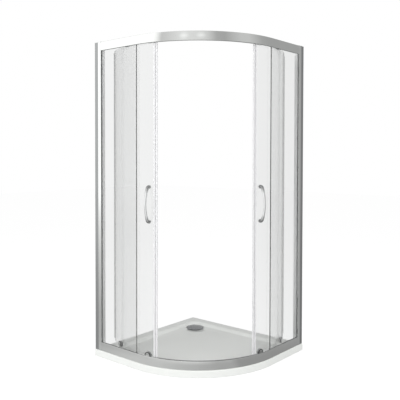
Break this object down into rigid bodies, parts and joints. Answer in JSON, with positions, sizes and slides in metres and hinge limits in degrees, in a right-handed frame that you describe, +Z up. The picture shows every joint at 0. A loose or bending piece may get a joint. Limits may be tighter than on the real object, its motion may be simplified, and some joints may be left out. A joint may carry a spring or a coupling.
{
  "type": "shower enclosure",
  "caption": "Corner shower enclosure: low tray, fixed glass sides on wall profiles, and curved glass doors that roll between curved top and bottom rails.",
  "frame": {"origin": "middle of the tray's flat underside, where the part stands on the floor", "axes": "+Z up; the room's walls lie at the tray's edges at low X and high Y; the round glazed corner faces high X and low Y"},
  "size_m": [0.9126, 0.9126, 1.8715],
  "materials": {
    "tray": "satin white cast resin",
    "glass": "clear toughened glass",
    "rail": "bright polished",
    "profile": "bright polished",
    "cap_plastic": "silver grey moulded",
    "chrome": "polished",
    "gasket": "dark grey",
    "clear_seal": "clear soft vinyl",
    "magnet_seal": "white vinyl over magnet",
    "black_plastic": "moulded",
    "steel": "stainless",
    "roller_body": "silver grey moulded",
    "wheel": "white nylon"
  },
  "bodies": {
    "root": {"shower_tray": "tray", "waste_body": "steel", "waste_seal": "gasket", "wall_profile_left": "profile", "wall_profile_right": "profile", "jamb_left": "profile", "jamb_right": "profile", "profile_caps": "cap_plastic", "top_rail": "rail", "bottom_rail": "rail", "rail_gaskets": "gasket", "rail_infills": "rail", "rail_end_blocks": "black_plastic", "rail_screws": "steel", "door_stops": "black_plastic", "fixed_glass_left": "glass", "fixed_glass_right": "glass", "setting_blocks": "gasket", "jamb_gasket_left": "gasket", "jamb_gasket_right": "gasket", "edge_seal_left": "clear_seal", "edge_seal_right": "clear_seal", "jamb_screws": "steel", "jamb_screw_caps": "cap_plastic"},
    "door_left": {"door_glass_left": "glass", "magnet_seal_left": "magnet_seal", "trailing_seal_left": "clear_seal", "handle_left": "chrome", "handle_bushes_left": "clear_seal", "handle_screws_left": "chrome", "top_hangers_left": "roller_body", "top_axles_left": "steel", "guide_caps_left": "chrome", "guide_screws_left": "steel", "guide_body_lead_left": "roller_body", "guide_body_tail_left": "roller_body"},
    "guide_slider_left": {"guide_slider_left": "roller_body"},
    "guide_wheel_lead_left": {"guide_wheel_lead_left": "wheel"},
    "guide_wheel_tail_left": {"guide_wheel_tail_left": "wheel"},
    "top_wheel_lead_left": {"top_wheel_lead_left": "wheel"},
    "top_wheel_tail_left": {"top_wheel_tail_left": "wheel"},
    "door_right": {"door_glass_right": "glass", "magnet_seal_right": "magnet_seal", "trailing_seal_right": "clear_seal", "handle_right": "chrome", "handle_bushes_right": "clear_seal", "handle_screws_right": "chrome", "top_hangers_right": "roller_body", "top_axles_right": "steel", "guide_caps_right": "chrome", "guide_screws_right": "steel", "guide_body_lead_right": "roller_body", "guide_body_tail_right": "roller_body"},
    "guide_slider_right": {"guide_slider_right": "roller_body"},
    "guide_wheel_lead_right": {"guide_wheel_lead_right": "wheel"},
    "guide_wheel_tail_right": {"guide_wheel_tail_right": "wheel"},
    "top_wheel_lead_right": {"top_wheel_lead_right": "wheel"},
    "top_wheel_tail_right": {"top_wheel_tail_right": "wheel"},
    "waste_cover": {"waste_cover": "chrome", "waste_strainer": "steel"}
  },
  "joints": [
    {"name": "door_left_slide", "type": "hinge", "parent": "root", "child": "door_left", "pos_m": [-0.1, 0.1, 0.95], "axis": [0, 0, 1], "range_deg": [0, 30.37]},
    {"name": "top_wheel_lead_left_roll", "type": "hinge", "parent": "door_left", "child": "top_wheel_lead_left", "pos_m": [-0.00618, -0.42671, 1.8568], "axis": [0.1754, -0.9845, 0], "range_deg": [-2032.17, 0]},
    {"name": "top_wheel_tail_left_roll", "type": "hinge", "parent": "door_left", "child": "top_wheel_tail_left", "pos_m": [-0.19198, -0.42703, 1.8568], "axis": [-0.1719, -0.9851, 0], "range_deg": [-2032.17, 0]},
    {"name": "guide_release_left", "type": "slide", "parent": "door_left", "child": "guide_slider_left", "axis": [0, 0, 1], "range_m": [0, 0.008], "stiffness_N_per_m": 250, "springref_m": -0.004},
    {"name": "guide_wheel_lead_left_roll", "type": "hinge", "parent": "guide_slider_left", "child": "guide_wheel_lead_left", "pos_m": [-0.03097, -0.41731, 0.062], "axis": [0, 0, 1], "range_deg": [-1896.25, 0]},
    {"name": "guide_wheel_tail_left_roll", "type": "hinge", "parent": "door_left", "child": "guide_wheel_tail_left", "pos_m": [-0.29043, -0.38592, 0.072], "axis": [0, 0, 1], "range_deg": [-1896.25, 0]},
    {"name": "door_right_slide", "type": "hinge", "parent": "root", "child": "door_right", "pos_m": [-0.1, 0.1, 0.95], "axis": [0, 0, -1], "range_deg": [0, 30.37]},
    {"name": "top_wheel_lead_right_roll", "type": "hinge", "parent": "door_right", "child": "top_wheel_lead_right", "pos_m": [0.42671, 0.00618, 1.8568], "axis": [-0.9845, 0.1754, 0], "range_deg": [-2032.17, 0]},
    {"name": "top_wheel_tail_right_roll", "type": "hinge", "parent": "door_right", "child": "top_wheel_tail_right", "pos_m": [0.42703, 0.19198, 1.8568], "axis": [-0.9851, -0.1719, 0], "range_deg": [-2032.17, 0]},
    {"name": "guide_release_right", "type": "slide", "parent": "door_right", "child": "guide_slider_right", "axis": [0, 0, 1], "range_m": [0, 0.008], "stiffness_N_per_m": 250, "springref_m": -0.004},
    {"name": "guide_wheel_lead_right_roll", "type": "hinge", "parent": "guide_slider_right", "child": "guide_wheel_lead_right", "pos_m": [0.41731, 0.03097, 0.062], "axis": [0, 0, -1], "range_deg": [-1896.25, 0]},
    {"name": "guide_wheel_tail_right_roll", "type": "hinge", "parent": "door_right", "child": "guide_wheel_tail_right", "pos_m": [0.38592, 0.29043, 0.072], "axis": [0, 0, -1], "range_deg": [-1896.25, 0]},
    {"name": "cover_lift", "type": "slide", "parent": "root", "child": "waste_cover", "axis": [0, 0, 1], "range_m": [0, 0.06]}
  ],
  "couplings": [
    {"joint": "top_wheel_lead_left_roll", "follows": "door_left_slide", "ratio": -66.875},
    {"joint": "top_wheel_tail_left_roll", "follows": "door_left_slide", "ratio": -66.875},
    {"joint": "guide_wheel_lead_left_roll", "follows": "door_left_slide", "ratio": -62.4},
    {"joint": "guide_wheel_tail_left_roll", "follows": "door_left_slide", "ratio": -62.4},
    {"joint": "top_wheel_lead_right_roll", "follows": "door_right_slide", "ratio": -66.875},
    {"joint": "top_wheel_tail_right_roll", "follows": "door_right_slide", "ratio": -66.875},
    {"joint": "guide_wheel_lead_right_roll", "follows": "door_right_slide", "ratio": -62.4},
    {"joint": "guide_wheel_tail_right_roll", "follows": "door_right_slide", "ratio": -62.4}
  ]
}
